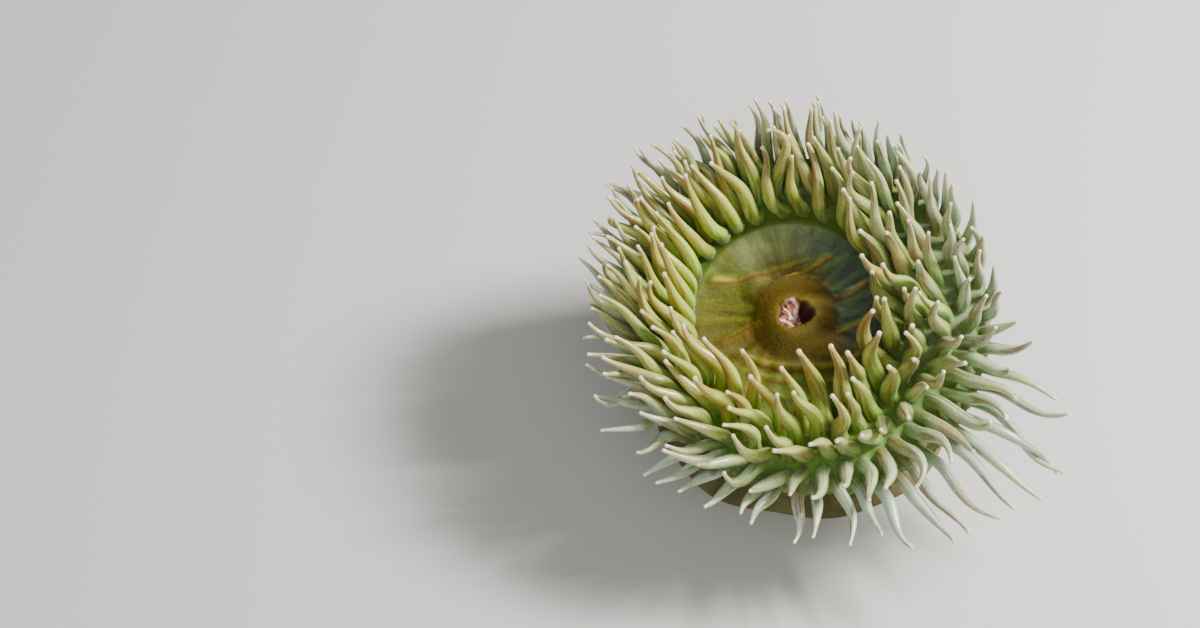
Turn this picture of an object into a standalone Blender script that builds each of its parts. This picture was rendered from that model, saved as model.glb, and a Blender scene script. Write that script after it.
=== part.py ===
"""Giant green anemone, life size, standing open on its pedal disc.

The body is modelled in four storeys: a spreading pedal disc on the floor, a stout column with rows
of warts, the oral disc with the mouth on a mound, and a rolled margin in eight sectors that carries
the tentacles. The column leans, so that the whole crown faces a little forward, towards -Y. The
tentacles' tips drift to the left and the back, as in a slow current.
Lengths are in metres, +Z is up, and the origin is the middle of the pedal disc's underside.
"""

import math

import bmesh
import bpy
import numpy as np
from mathutils import Matrix

MM = 0.001
GAP = 0.3 * MM
MERGE = 0.01 * MM

# Driving sizes of the foot and the column, measured along the upright axis before it leans.
FOOT_RADIUS = 57 * MM
FOOT_HEIGHT = 8 * MM
COLUMN_TOP = 46 * MM
COLUMN_WAIST = 49 * MM
COLUMN_BULGE = 3.0 * MM
COLLAR_RADIUS = 56 * MM
CROWN_LEAN = math.radians(12)
WART_COLUMNS = 32
WART_ROWS = 6
WART_HEIGHT = 1.9 * MM

# The crown has its own frame: its origin is the middle of the column's top face, u points right,
# v to the back and w along the leaning axis. The margin is an ellipse across, in eight sectors.
DISC_RADIUS = 39.5 * MM
MOUTH_RADIUS = 14 * MM
MARGIN_MIDDLE = 51.5 * MM
MARGIN_HALF_WIDTH = MARGIN_MIDDLE - DISC_RADIUS
MARGIN_CENTRE_W = 6 * MM
MARGIN_HALF_HEIGHT = 9 * MM
SECTORS = ("right", "back_right", "back", "back_left", "left", "front_left", "front", "front_right")
SECTOR_DEGREES = 360 / len(SECTORS)
SECTOR_STEPS = 5
AROUND = SECTOR_STEPS * len(SECTORS)
MOUTH_STEPS = 24

# Seen from above the disc is longer than wide and set to the front left, with the mouth near its
# middle, and the margin bulges to the front right.
DISC_OVAL = 0.085
DISC_SHIFT = (-5.5 * MM, -4.0 * MM)
MOUTH_SHIFT = (-3.7 * MM, -1.0 * MM)
CROWN_OVAL = 0.025
CROWN_LOBE = 0.06
LOBE_AZIMUTH = math.radians(-48)

# Rows of tentacles from the disc outwards: the place across the margin in degrees from its top,
# the count, the thickest radius and the sides of the tube. A tube is cut where CUTS says.
ROWS = (
    (-52, 32, 3.00 * MM, 6),
    (-26, 40, 2.80 * MM, 6),
    (0, 48, 2.55 * MM, 6),
    (28, 56, 2.30 * MM, 4),
    (58, 64, 2.10 * MM, 4),
)
CUTS = (0.0, 0.24, 0.49, 0.71, 1.0)

# How a tentacle's tip lies from its root, in millimetres to the right, to the back and up, for the
# inner, middle and outer rows at each azimuth in degrees from the right.
POSE = {
    0: ((-11, 1, 25), (-8, 3, 28), (2, 3, 20)),
    45: ((-10, 9, 27), (-7, 8, 29), (0, 6, 24)),
    90: ((-9, 8, 29), (-7, 10, 30), (-4, 11, 27)),
    135: ((-14, 9, 29), (-17, 11, 25), (-18, 12, 21)),
    180: ((-9, 12, 29), (-18, 9, 25), (-18, 8, 21)),
    215: ((-11, 15, 29), (-20, 4, 26), (-23, -6, 14)),
    245: ((-5, 16, 30), (-17, 0, 27), (-18, -16, 10)),
    275: ((-4, 13, 31), (-9, -7, 28), (4, -25, 8)),
    305: ((-4, 10, 32), (-4, -12, 27), (27, -31, 4)),
    332: ((-7, 5, 28), (11, -7, 27), (40, -21, 2)),
}

# Thickness along a tentacle, as shares of its length and of its thickest radius: full above the
# base, slender in the last third, with a small knob at the tip.
SHARES = (0.0, 0.08, 0.20, 0.38, 0.52, 0.66, 0.80, 0.91, 0.96, 1.0)
THICKNESS = (0.92, 0.96, 1.00, 0.98, 0.81, 0.50, 0.32, 0.25, 0.27, 0.18)

# Variation from one tentacle to the next, and how the centre lines are bent and kept apart. Towards
# the front right tentacles are stouter than the mean, and towards the back left they are slimmer.
SEED = 11
ROOT_SINK = 2.2 * MM
ROOT_SCATTER = 7
ROOT_CLEARANCE = 0.6 * MM
ROOT_ROUNDS = 60
ROOT_LIMITS = (math.radians(-58), math.radians(68))
DIRECTION_SCATTER = 0.09
LENGTH_RANGE = (0.9, 1.1)
RADIUS_RANGE = (0.9, 1.08)
STOUTER_SHARE = 0.10
HOOKED_SHARE = 0.25
SWAY = 0.05
LINE_POINTS = 18
HELD_POINTS = 3
ROUNDS = 72
SETTLE_ROUNDS = 16
PAIRING_EVERY = 8
CLEARANCE = 0.8 * MM
PAIRING_REACH = 4 * MM


def clear_scene():
    """Empties the startup scene."""
    for obj in list(bpy.data.objects):
        bpy.data.objects.remove(obj, do_unlink=True)


def new_collection(name):
    made = bpy.data.collections.new(name)
    bpy.context.scene.collection.children.link(made)
    return made


def new_object(name, data):
    made = bpy.data.objects.new(name, data)
    bpy.context.scene.collection.objects.link(made)
    return made


def material(name, colour, roughness):
    made = bpy.data.materials.new(name)
    made.use_nodes = True
    shader = made.node_tree.nodes["Principled BSDF"]
    shader.inputs["Base Color"].default_value = (*colour, 1.0)
    shader.inputs["Roughness"].default_value = roughness
    shader.inputs["Metallic"].default_value = 0.0
    return made


def as_mesh(objects):
    """The same objects as plain meshes, with their modifiers and curve bevels worked out."""
    graph = bpy.context.evaluated_depsgraph_get()
    meshes = [bpy.data.meshes.new_from_object(obj.evaluated_get(graph)) for obj in objects]
    made = []
    for obj, mesh in zip(objects, meshes):
        name = obj.name
        bpy.data.objects.remove(obj, do_unlink=True)
        made.append(new_object(name, mesh))
    return made


def turned(name, profile, steps=AROUND, angle=2 * math.pi, closed=False):
    """A profile of (radius, height) points turned about +Z by a Screw modifier, as a plain mesh."""
    count = len(profile)
    edges = [(i, i + 1) for i in range(count - 1)] + ([(count - 1, 0)] if closed else [])
    line = bpy.data.meshes.new(name)
    line.from_pydata([(radius, 0.0, height) for radius, height in profile], edges, [])
    obj = new_object(name, line)
    screw = obj.modifiers.new("turn", "SCREW")
    screw.angle = angle
    screw.steps = steps
    screw.render_steps = steps
    screw.use_merge_vertices = True
    screw.merge_threshold = MERGE
    return as_mesh([obj])[0]


def close_mesh(obj):
    """Merges doubles, closes any open end and turns every face outwards."""
    mesh = bmesh.new()
    mesh.from_mesh(obj.data)
    bmesh.ops.remove_doubles(mesh, verts=mesh.verts, dist=MERGE)
    ends = [edge for edge in mesh.edges if edge.is_boundary]
    if ends:
        bmesh.ops.holes_fill(mesh, edges=ends, sides=0)
    bmesh.ops.recalc_face_normals(mesh, faces=mesh.faces)
    mesh.to_mesh(obj.data)
    mesh.free()


def reshape(obj, rule):
    """Moves every vertex of a mesh by a rule that takes and gives arrays of x, y and z."""
    points = np.empty(len(obj.data.vertices) * 3)
    obj.data.vertices.foreach_get("co", points)
    x, y, z = points.reshape(-1, 3).T
    moved = np.stack(rule(x, y, z), axis=1)
    obj.data.vertices.foreach_set("co", moved.ravel())
    obj.data.update()


def finished(obj, parts, look):
    """Puts a closed piece in the collection of parts, with its material and shading."""
    close_mesh(obj)
    for other in list(obj.users_collection):
        other.objects.unlink(obj)
    parts.objects.link(obj)
    obj.data.materials.clear()
    obj.data.materials.append(look)
    obj.data.shade_smooth()
    obj.data.set_sharp_from_angle(angle=math.radians(50))
    return obj


def crown_shape(u, v, w):
    """Gives a round crown its shape: mouth and disc are set to the front left, the disc is an oval,
    and the outer edge of the margin is rounder and bulges to the front right."""
    azimuth = np.arctan2(v, u)
    r = np.hypot(u, v)
    out = np.clip((r - DISC_RADIUS) / (2 * MARGIN_HALF_WIDTH), 0.0, 1.0)
    oval = DISC_OVAL * np.clip(r / DISC_RADIUS, 0.0, 1.0) ** 2 + (CROWN_OVAL - DISC_OVAL) * out
    spread = 1 - oval * np.cos(2 * azimuth) + CROWN_LOBE * out * np.cos(azimuth - LOBE_AZIMUTH)
    circles = (MOUTH_RADIUS, DISC_RADIUS, DISC_RADIUS + 2 * MARGIN_HALF_WIDTH)
    right, back = (np.interp(r, circles, (*pair, 0.0)) for pair in zip(MOUTH_SHIFT, DISC_SHIFT))
    return u * spread + right, v * spread + back, w


def lean(x, y, z):
    """Bends the upright column forward along an arc that starts on top of the pedal disc."""
    bend = CROWN_LEAN / (COLUMN_TOP - FOOT_HEIGHT)
    rise = np.clip(z - FOOT_HEIGHT, 0.0, COLUMN_TOP - FOOT_HEIGHT)
    turn = bend * rise
    above = z - FOOT_HEIGHT - rise
    axis_y = -(1 - np.cos(turn)) / bend - above * np.sin(turn)
    axis_z = FOOT_HEIGHT + np.sin(turn) / bend + above * np.cos(turn)
    return x, axis_y + y * np.cos(turn), axis_z + y * np.sin(turn)


def crown_frame():
    """The matrix that takes the crown's coordinates to the world."""
    _, y, z = lean(np.zeros(1), np.zeros(1), np.full(1, COLUMN_TOP))
    return Matrix.Translation((0.0, float(y[0]), float(z[0]))) @ Matrix.Rotation(CROWN_LEAN, 4, "X")


def pedal_disc(parts, look):
    """The foot: a flat underside and a thin edge that spreads in shallow lobes."""
    profile = [
        (0.0, FOOT_HEIGHT),
        (COLUMN_WAIST + 1.2 * MM, FOOT_HEIGHT),
        (COLUMN_WAIST + 4.0 * MM, FOOT_HEIGHT * 0.62),
        (FOOT_RADIUS - 1.2 * MM, FOOT_HEIGHT * 0.30),
        (FOOT_RADIUS, FOOT_HEIGHT * 0.12),
        (FOOT_RADIUS - 0.8 * MM, 0.0),
        (0.0, 0.0),
    ]

    def lobes(x, y, z):
        angle = np.arctan2(y, x)
        wave = 0.55 * np.sin(5 * angle + 0.6) + 0.45 * np.sin(9 * angle + 2.0)
        edge = np.clip((np.hypot(x, y) / FOOT_RADIUS - 0.88) / 0.12, 0.0, 1.0)
        spread = 1 + 0.030 * wave * edge
        return x * spread, y * spread, z

    foot = turned("pedal_disc", profile)
    reshape(foot, lobes)
    finished(foot, parts, look)


def column(parts, look):
    """The trunk, fuller at mid height, its wall covered with rows of low pointed warts."""
    bottom = FOOT_HEIGHT + GAP
    share = np.linspace(0.0, 1.0, WART_ROWS + 1)
    heights = bottom + (COLUMN_TOP - bottom) * share
    radii = COLUMN_WAIST + COLUMN_BULGE * np.sin(math.pi * share)
    radii += (COLLAR_RADIUS - COLUMN_WAIST) * share**3
    wall = [(float(r), float(h)) for r, h in zip(radii, heights)]
    trunk = turned("column", [(0.0, COLUMN_TOP), *reversed(wall), (0.0, bottom)], steps=WART_COLUMNS)
    close_mesh(trunk)
    mesh = bmesh.new()
    mesh.from_mesh(trunk.data)
    for face in [face for face in mesh.faces if abs(face.normal.z) < 0.7]:
        middle = face.calc_center_median()
        size = 0.8 + 0.2 * math.sin(3 * math.atan2(middle.y, middle.x) + middle.z / (2.5 * MM))
        bmesh.ops.poke(mesh, faces=[face], offset=WART_HEIGHT * size)
    mesh.to_mesh(trunk.data)
    mesh.free()

    def widen_and_lean(x, y, z):
        up = np.clip((z - bottom) / (COLUMN_TOP - bottom), 0.0, 1.0) ** 2
        wide_x, wide_y, _ = crown_shape(x, y, z)
        return lean(x + (wide_x - x) * up, y + (wide_y - y) * up, z)

    reshape(trunk, widen_and_lean)
    finished(trunk, parts, look)


def oral_disc(parts, look):
    """The flat face round the mouth: a shallow dish with faint spokes where the partitions join it."""
    rim_w = 4.6 * MM
    inner = MOUTH_RADIUS + GAP
    outer = DISC_RADIUS - GAP
    share = np.linspace(0.0, 1.0, 4)
    radii = inner + (outer - inner) * share
    heights = rim_w - 1.6 * MM * np.sin(math.pi * share)
    face = [(float(r), float(h)) for r, h in zip(radii, heights)]

    def spokes(u, v, w):
        azimuth = np.arctan2(v, u)
        r = np.hypot(u, v)
        on_face = (w > GAP + MM) & (r > inner + MM) & (r < outer - MM)
        ripple = 0.35 * MM * np.cos(AROUND / 2 * azimuth) + 0.6 * MM * np.sin(2 * azimuth + 0.8)
        return crown_shape(u, v, w + np.where(on_face, ripple, 0.0))

    disc = turned("oral_disc", [(inner, GAP), *face, (outer, GAP)], closed=True)
    reshape(disc, spokes)
    disc.data.transform(crown_frame())
    finished(disc, parts, look)


def mouth(parts, look):
    """The mound with the mouth on top: swollen, pinched lips round a short throat."""
    rim_w = 4.6 * MM
    lip_radius = 4.6 * MM
    slit = 1.35
    profile = [
        (0.0, 4.0 * MM),
        (2.2 * MM, 4.4 * MM),
        (3.4 * MM, 8.2 * MM),
        (lip_radius, 11.2 * MM),
        (6.6 * MM, 11.8 * MM),
        (9.0 * MM, 10.4 * MM),
        (11.2 * MM, 7.8 * MM),
        (MOUTH_RADIUS, rim_w),
        (MOUTH_RADIUS, GAP),
        (0.0, GAP),
    ]

    def folds(u, v, w):
        r = np.hypot(u, v)
        raised = np.clip((w - rim_w) / (6 * MM), 0.0, 1.0)
        lip = raised * np.exp(-(((r - lip_radius) / (2.8 * MM)) ** 2))
        pinch = 1 + 0.09 * lip * np.cos(MOUTH_STEPS / 2 * np.arctan2(v, u))
        long = 1 + (slit - 1) * np.clip(1 - r / (10 * MM), 0.0, 1.0)
        return crown_shape(u * pinch / long, v * pinch * long, w)

    mound = turned("mouth", profile, steps=MOUTH_STEPS)
    reshape(mound, folds)
    mound.data.transform(crown_frame())
    finished(mound, parts, look)


def margin_sector(index):
    """One eighth of the rolled margin, cut a hair short at both ends to keep its gaps."""
    turns = np.radians(np.linspace(-90, 120, 8))
    rolled = [
        (
            float(MARGIN_MIDDLE + MARGIN_HALF_WIDTH * math.sin(t)),
            float(MARGIN_CENTRE_W + MARGIN_HALF_HEIGHT * math.cos(t)),
        )
        for t in turns
    ]
    section = [(DISC_RADIUS, GAP), *rolled, (COLLAR_RADIUS, GAP)]
    trim = GAP / 2 / DISC_RADIUS
    sector_angle = math.radians(SECTOR_DEGREES)
    name = "tentacles_" + SECTORS[index]
    piece = turned(name, section, SECTOR_STEPS, sector_angle - 2 * trim, closed=True)
    piece.data.transform(Matrix.Rotation((index - 0.5) * sector_angle + trim, 4, "Z"))
    close_mesh(piece)
    reshape(piece, crown_shape)
    return piece


def unit(vectors):
    return vectors / np.linalg.norm(vectors, axis=-1, keepdims=True)


def on_margin(azimuth, turn):
    """Points and outward normals of the round margin at an azimuth and a turn across its top."""
    r = MARGIN_MIDDLE + MARGIN_HALF_WIDTH * np.sin(turn)
    w = MARGIN_CENTRE_W + MARGIN_HALF_HEIGHT * np.cos(turn)
    cos, sin = np.cos(azimuth), np.sin(azimuth)
    out, up = np.sin(turn) / MARGIN_HALF_WIDTH, np.cos(turn) / MARGIN_HALF_HEIGHT
    return np.stack([r * cos, r * sin, w], 1), unit(np.stack([out * cos, out * sin, up], 1))


def settled_roots(azimuth, turn, radii):
    """Slides crowded roots apart over the margin, each inside its own sector."""
    half = math.radians(SECTOR_DEGREES) / 2
    middle = np.round(azimuth / (2 * half)) * 2 * half
    for _ in range(ROOT_ROUNDS):
        points, normals = on_margin(azimuth, turn)
        shaped = np.stack(crown_shape(*points.T), 1)
        between = shaped[:, None] - shaped[None]
        distance = np.linalg.norm(between, axis=2) + np.eye(len(points))
        lack = np.clip(1.05 * (radii[:, None] + radii[None]) + ROOT_CLEARANCE - distance, 0.0, None)
        push = (between * (0.4 * lack / distance)[:, :, None]).sum(1)
        r = np.hypot(points[:, 0], points[:, 1])
        sideways = np.stack([-np.sin(azimuth), np.cos(azimuth), np.zeros(len(r))], 1)
        across = np.cross(sideways, normals)
        azimuth = azimuth + (push * sideways).sum(1) / r
        turn = turn + (push * across).sum(1) / MARGIN_HALF_WIDTH
        room = half - (1.15 * radii + 1.2 * GAP) / r
        azimuth = np.clip(azimuth, middle - room, middle + room)
        turn = np.clip(turn, *ROOT_LIMITS)
    return azimuth, turn


def posed_reaches(azimuth):
    """The pose's reaches for the inner, middle and outer rows, read between its directions."""
    directions = np.radians(list(POSE))
    reaches = np.array(list(POSE.values())) * MM
    turn = 2 * math.pi
    return [
        np.stack([np.interp(azimuth, directions, values, period=turn) for values in tier.T], 1)
        for tier in reaches.transpose(1, 0, 2)
    ]


def tentacle_roots(rng):
    """Roots, outward normals, reaches, radii, azimuths and rows of all the tentacles."""
    rows = np.repeat(np.arange(len(ROWS)), [row[1] for row in ROWS])
    azimuth, turn, radii = [], [], []
    for degrees, count, radius, _ in ROWS:
        step = 2 * math.pi / count
        start = -math.radians(SECTOR_DEGREES) / 2
        azimuth.append(start + (np.arange(count) + 0.5 + rng.uniform(-0.15, 0.15, count)) * step)
        turn.append(np.radians(degrees + rng.uniform(-ROOT_SCATTER, ROOT_SCATTER, count)))
        radii.append(radius * rng.uniform(*RADIUS_RANGE, count))
    azimuth = np.concatenate(azimuth)
    radii = np.concatenate(radii) * (1 + STOUTER_SHARE * np.cos(azimuth - LOBE_AZIMUTH))
    azimuth, turn = settled_roots(azimuth, np.concatenate(turn), radii)
    places, normals = on_margin(azimuth, turn)
    roots = np.stack(crown_shape(*places.T), 1)
    normals = unit(roots - np.stack(crown_shape(*(places - ROOT_SINK * normals).T), 1))

    inner, middle, outer = posed_reaches(azimuth)
    tier = (2 * rows / (len(ROWS) - 1))[:, None]
    reaches = np.where(tier < 1, inner + (middle - inner) * tier, middle + (outer - middle) * (tier - 1))
    length = np.linalg.norm(reaches, axis=1, keepdims=True)
    scattered = unit(reaches / length + rng.normal(0, DIRECTION_SCATTER, reaches.shape))
    reaches = scattered * length * rng.uniform(*LENGTH_RANGE, (len(rows), 1))
    return roots, normals, reaches, radii, azimuth, rows


def tentacle_lines(roots, normals, reaches, rng):
    """Centre lines: each leaves the margin squarely, bends towards its reach, and sways on the way."""
    count = len(roots)
    t = np.linspace(0, 1, LINE_POINTS)[None, :, None]
    length = np.linalg.norm(reaches, axis=1)[:, None]
    along = reaches / length
    hook = np.where(rng.random(count) < HOOKED_SHARE, 0.9, 0.3)[:, None]
    first = unit(0.6 * normals + 0.4 * along)
    last = unit(along + np.array([0, 0, 0.2]) + hook * rng.normal(0, 0.6, along.shape))
    p0 = roots[:, None]
    p1 = p0 + (0.36 * length * first)[:, None]
    p3 = p0 + reaches[:, None]
    p2 = p3 - (0.34 * length * last)[:, None]
    line = (1 - t) ** 3 * p0 + 3 * t * (1 - t) ** 2 * p1 + 3 * t**2 * (1 - t) * p2 + t**3 * p3
    side = unit(np.cross(along, rng.normal(0, 1, along.shape)))
    phase = rng.uniform(0, 2 * math.pi, (count, 1, 1))
    wave = np.sin(2 * math.pi * 0.9 * t + phase) - np.sin(phase) * (1 - t)
    return line + SWAY * length[:, None] * side[:, None] * wave * np.minimum(1, 3 * t)


def spread_apart(lines, radii):
    """Pushes the lines of different tentacles apart until their tubes clear one another.

    Each line is a chain of balls of the tentacle's radius. Every round moves two balls that are too
    close away from each other, smooths the shifts along each chain, draws them a little back to
    where they were, and gives each link its length again. The roots stay.
    """
    count, points, _ = lines.shape
    balls = count * points
    owner = np.repeat(np.arange(count), points)
    radius = radii.ravel()
    links = np.linalg.norm(np.diff(lines, axis=1), axis=2, keepdims=True)
    start = lines.copy()
    for turn in range(ROUNDS):
        flat = lines.reshape(-1, 3)
        if turn % PAIRING_EVERY == 0:
            square = (flat**2).sum(1)
            apart = square[:, None] + square[None] - 2 * flat @ flat.T
            reach = radius[:, None] + radius[None] + CLEARANCE + PAIRING_REACH
            i, j = np.nonzero((apart < reach**2) & (owner[:, None] < owner[None]))
        between = flat[i] - flat[j]
        distance = np.maximum(np.linalg.norm(between, axis=1), MERGE)
        lack = np.clip(radius[i] + radius[j] + CLEARANCE - distance, 0.0, None)
        push = between * (0.55 * lack / distance)[:, None]
        shift = [np.bincount(i, push[:, k], balls) - np.bincount(j, push[:, k], balls) for k in range(3)]
        hits = np.bincount(i, lack > 0, balls) + np.bincount(j, lack > 0, balls)
        shift = np.stack(shift, 1) / np.sqrt(np.maximum(hits, 1))[:, None]
        moved = lines + shift.reshape(count, points, 3) - start
        if turn < ROUNDS - SETTLE_ROUNDS:
            moved *= 0.98
        moved[:, 1:-1] += 0.35 * ((moved[:, :-2] + moved[:, 2:]) / 2 - moved[:, 1:-1])
        moved[:, :HELD_POINTS] = 0.0
        lines = start + moved
        for k in range(HELD_POINTS, points):
            link = unit(lines[:, k] - lines[:, k - 1])
            lines[:, k] = lines[:, k - 1] + link * links[:, k - 1]
    return lines


def tentacle_curve(name, line, radius, normal, sides):
    """A tapered tube along a centre line, its root sunk straight into the margin."""
    shares = np.linspace(0.0, 1.0, LINE_POINTS)
    places = np.stack([np.interp(CUTS, shares, line[:, k]) for k in range(3)], 1)
    places[0] -= normal * ROOT_SINK
    curve = bpy.data.curves.new(name, "CURVE")
    curve.dimensions = "3D"
    curve.bevel_depth = radius
    curve.bevel_resolution = (sides - 4) // 2
    curve.use_fill_caps = True
    spline = curve.splines.new("POLY")
    spline.points.add(len(CUTS) - 1)
    spline.points.foreach_set("co", np.hstack([places, np.ones((len(CUTS), 1))]).ravel())
    spline.points.foreach_set("radius", np.interp(CUTS, SHARES, THICKNESS))
    return new_object(name, curve)


def fused(base, growths):
    """The base with its growths joined on by one union, without any loose crumb."""
    name = base.name
    joined = new_collection("growths_" + name)
    for growth in growths:
        bpy.context.scene.collection.objects.unlink(growth)
        joined.objects.link(growth)
    union = base.modifiers.new("union", "BOOLEAN")
    union.operation = "UNION"
    union.operand_type = "COLLECTION"
    union.collection = joined
    whole = as_mesh([base])[0]
    for growth in growths:
        bpy.data.objects.remove(growth, do_unlink=True)
    bpy.data.collections.remove(joined)
    mesh = bmesh.new()
    mesh.from_mesh(whole.data)
    left = set(mesh.faces)
    surfaces = []
    while left:
        surface = [left.pop()]
        for face in surface:
            beside = {other for edge in face.edges for other in edge.link_faces} & left
            left -= beside
            surface.extend(beside)
        surfaces.append(surface)
    surfaces.sort(key=len)
    crumbs = [face for surface in surfaces[:-1] for face in surface]
    bmesh.ops.delete(mesh, geom=crumbs, context="FACES")
    mesh.to_mesh(whole.data)
    mesh.free()
    return whole


def tentacles(parts, look):
    """The eight sectors of the margin, each fused with the tentacles that grow from it."""
    rng = np.random.default_rng(SEED)
    roots, normals, reaches, radii, azimuths, rows = tentacle_roots(rng)
    lines = tentacle_lines(roots, normals, reaches, rng)
    along = np.interp(np.linspace(0.0, 1.0, LINE_POINTS), SHARES, THICKNESS)
    lines = spread_apart(lines, radii[:, None] * along)
    curves = []
    for k, row in enumerate(rows):
        curves.append(tentacle_curve(f"tentacle_{k}", lines[k], radii[k], normals[k], ROWS[row][3]))
    tubes = as_mesh(curves)
    for tube in tubes:
        close_mesh(tube)
    sector_of = np.round(azimuths / math.radians(SECTOR_DEGREES)).astype(int) % len(SECTORS)
    for index in range(len(SECTORS)):
        own = [tube for tube, sector in zip(tubes, sector_of) if sector == index]
        piece = fused(margin_sector(index), own)
        piece.data.transform(crown_frame())
        finished(piece, parts, look)


def build():
    clear_scene()
    parts = new_collection("green_anemone")
    pedal_disc(parts, material("foot_skin", (0.19, 0.17, 0.09), 0.50))
    column(parts, material("column_skin", (0.16, 0.17, 0.07), 0.45))
    oral_disc(parts, material("disc_skin", (0.21, 0.23, 0.04), 0.30))
    mouth(parts, material("mouth_skin", (0.24, 0.17, 0.05), 0.35))
    tentacles(parts, material("tentacle_skin", (0.38, 0.47, 0.16), 0.30))


build()
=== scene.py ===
"""Giant green anemone, life size, open on its foot, as a still model: its skin and its tentacles."""

import math

import bpy
import numpy as np
from mathutils import Matrix, Vector


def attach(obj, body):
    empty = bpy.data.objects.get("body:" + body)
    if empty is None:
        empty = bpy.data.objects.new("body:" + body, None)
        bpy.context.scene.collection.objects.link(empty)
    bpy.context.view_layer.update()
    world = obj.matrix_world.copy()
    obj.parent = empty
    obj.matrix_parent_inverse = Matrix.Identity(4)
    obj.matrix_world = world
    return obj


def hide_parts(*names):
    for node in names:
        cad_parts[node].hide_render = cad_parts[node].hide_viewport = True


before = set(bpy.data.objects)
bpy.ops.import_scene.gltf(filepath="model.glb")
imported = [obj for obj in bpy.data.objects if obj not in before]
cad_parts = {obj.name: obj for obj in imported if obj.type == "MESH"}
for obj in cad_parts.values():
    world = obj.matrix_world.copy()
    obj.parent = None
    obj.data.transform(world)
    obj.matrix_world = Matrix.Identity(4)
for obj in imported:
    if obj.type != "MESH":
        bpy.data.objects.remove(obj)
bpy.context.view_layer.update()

# Skin. Foot, column, rolled margin, oral disc and mouth are one wet sheet of flesh in the living
# animal. It is one closed surface here: a profile that runs from under the foot up the warty column,
# over the margin, across the disc and down into the throat, carried once round the body's axis.
MM = 0.001
FOOT_RADIUS = 57 * MM
FOOT_HEIGHT = 8 * MM
COLUMN_TOP = 46 * MM
COLUMN_WAIST = 49 * MM
COLUMN_BULGE = 3.0 * MM
COLLAR_RADIUS = 56 * MM
CROWN_LEAN = math.radians(12)
DISC_RADIUS = 39.5 * MM
MOUTH_RADIUS = 14 * MM
MARGIN_MIDDLE = 51.5 * MM
MARGIN_HALF_WIDTH = MARGIN_MIDDLE - DISC_RADIUS
MARGIN_CENTRE_W = 6 * MM
MARGIN_HALF_HEIGHT = 9 * MM
DISC_OVAL = 0.085
DISC_SHIFT = (-5.5 * MM, -4.0 * MM)
MOUTH_SHIFT = (-3.7 * MM, -1.0 * MM)
CROWN_OVAL = 0.025
CROWN_LOBE = 0.06
LOBE_AZIMUTH = math.radians(-48)
SKIN_AROUND = 360
SKIN_SEED = 5
PATCH_EDGE = 0.04
# Stretches of the profile: the rows of the grid that each gets, and its stations (radius, height).
FOOT_LINE = (
    *((2, 0), (30, 0), (54.8, 0), (56.5, 0.25), (57, 1.0)),
    *((56.3, 2.2), (54.2, 3.8), (51.8, 5.7), (50.4, 7.6)),
)
PARAPET_LINE = ((56.6, 44.4), (56.3, 45.6), (55.9, 46.5), (57.2, 47.1), (60.0, 47.0))
DISC_LINE = ((38.9, 51.2), (37.5, 50.2), (33, 49.4), (27, 49.0), (21, 49.3), (18.0, 50.0))
MOUTH_LINE = (
    *((15.8, 51.1), (13.9, 52.9), (11.8, 54.7), (9.8, 56.2)),
    *((8.2, 57.1), (6.9, 57.5), (6.0, 57.3), (5.4, 56.3)),
)
THROAT_LINE = ((4.9, 54.4), (4.2, 52.6), (3.2, 50.9), (1.6, 49.6))
# The margin's line runs over its top from its outer underside to its inner foot, in degrees from the
# top, with its rows closer together on the warty outer side.
MARGIN_DEGREES = (112, -84)
MARGIN_CROWDING = 1.4
WARTS_AROUND = 66
WART_ROWS = 11
WART_HEIGHT = 1.5 * MM
# Each wart is shifted, sized and raised by chance: in cells, and in shares of the full height.
WART_SHIFT = 0.32
WART_SIZES = (0.38, 0.64)
WART_HEIGHTS = (0.45, 1.0)
RIM_WARTS_AROUND = 90
RIM_WART_ROWS = 3
RIM_WART_DEGREES = 60
RIM_WART_HEIGHT = 1.1 * WART_HEIGHT
# Low waves of the skin, by count and height: ribs up the column, ridges that run down over the foot,
# grooves across the rim, and spokes and a slow warp on the disc.
RIBS, RIB_HEIGHT = 24, 0.35 * MM
FOOT_RIDGES, FOOT_RIDGE_HEIGHT = 54, 0.25 * MM
RIM_GROOVES, RIM_GROOVE_HEIGHT = 60, 0.22 * MM
SPOKES, SPOKE_HEIGHT = 20, 0.35 * MM
DISC_WARP = 0.6 * MM
FOOT_EDGE = 0.88
FOOT_WAVE = 0.03
PLEATS = 13
PLEAT_DEPTHS = (0.03, 0.12)
# Slow waves round the foot's edge and round the mouth: the count, the height and the phase of each.
FOOT_LOBES = ((5, 0.55, 0.6), (9, 0.45, 2.0))
MOUTH_BENDS = ((3, 0.10, 0.4), (2, 0.08, -0.7), (7, 0.04, 0.0))
THROAT_BEND = 0.8
LIP_RADIUS, LIP_WIDTH = 5.6 * MM, 1.8 * MM
THROAT_SWELL = 0.72
THROAT_TOP = 56 * MM
# Folds of the disc: stations to the right and the back on the crown, half width and height, in mm.
FOLDS = (
    (((-44, 15.5), (-30, 16.2), (-20, 17.6), (-11, 20.2), (-3, 23.0), (5, 28.0)), 2.4, 1.2),
    (((-32, -11.0), (-25, -6.5), (-19, -3.8), (-13, -2.6)), 1.9, 0.9),
    (
        ((-31, -11.5), (-21, -15.4), (-12, -18.2), (-2, -19.0), (9, -17.6), (18, -13.6), (27, -6.5)),
        2.0,
        1.2,
    ),
    (((-24, -20.5), (-9, -23.6), (6, -24.0), (20, -20.0)), 1.7, 0.6),
    (((-26, -27.0), (-9, -30.2), (9, -30.0), (28, -25.5)), 1.5, 0.7),
    (((-10, 12.5), (-2, 17.5), (4, 22.5), (12, 29.0)), 2.0, 0.8),
    (((6, 5.5), (15, 10.5), (27, 18.5)), 1.8, 0.6),
    (((8, -6.5), (17, -2.0), (28, 4.0)), 1.8, 0.6),
)
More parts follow.
